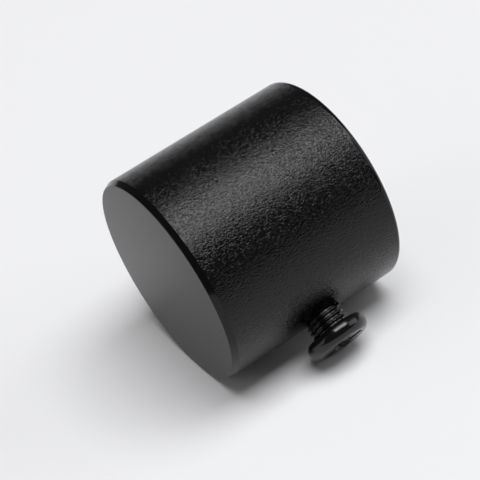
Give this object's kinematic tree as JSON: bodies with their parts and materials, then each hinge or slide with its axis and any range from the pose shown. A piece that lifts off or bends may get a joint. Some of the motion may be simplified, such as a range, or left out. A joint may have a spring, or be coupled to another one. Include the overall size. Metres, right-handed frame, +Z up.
{
  "type": "curtain rod end cap",
  "caption": "Round cup that slips over the end of a curtain rod and closes it with a flat end, held by a radial clamp screw with a cross recess.",
  "frame": {"origin": "centre of the bore's floor, where the end of the rod comes to rest", "axes": "+X along the bore and out of its mouth, +Z up with the cap lying on its side on its wall and the bulged side of the screw's head"},
  "size_m": [0.02, 0.0241, 0.022],
  "materials": {
    "cap_coat": "black textured coating on the wall, smoother on the end face",
    "screw_black": "semi-gloss black"
  },
  "bodies": {
    "cap": {"cap_body": "cap_coat"},
    "screw": {"clamp_screw": "screw_black"}
  },
  "joints": [
    {"name": "screw_travel", "type": "slide", "parent": "cap", "child": "screw", "axis": [0, -0.7935, -0.6086], "range_m": [-0.0016, 0.0009]}
  ]
}
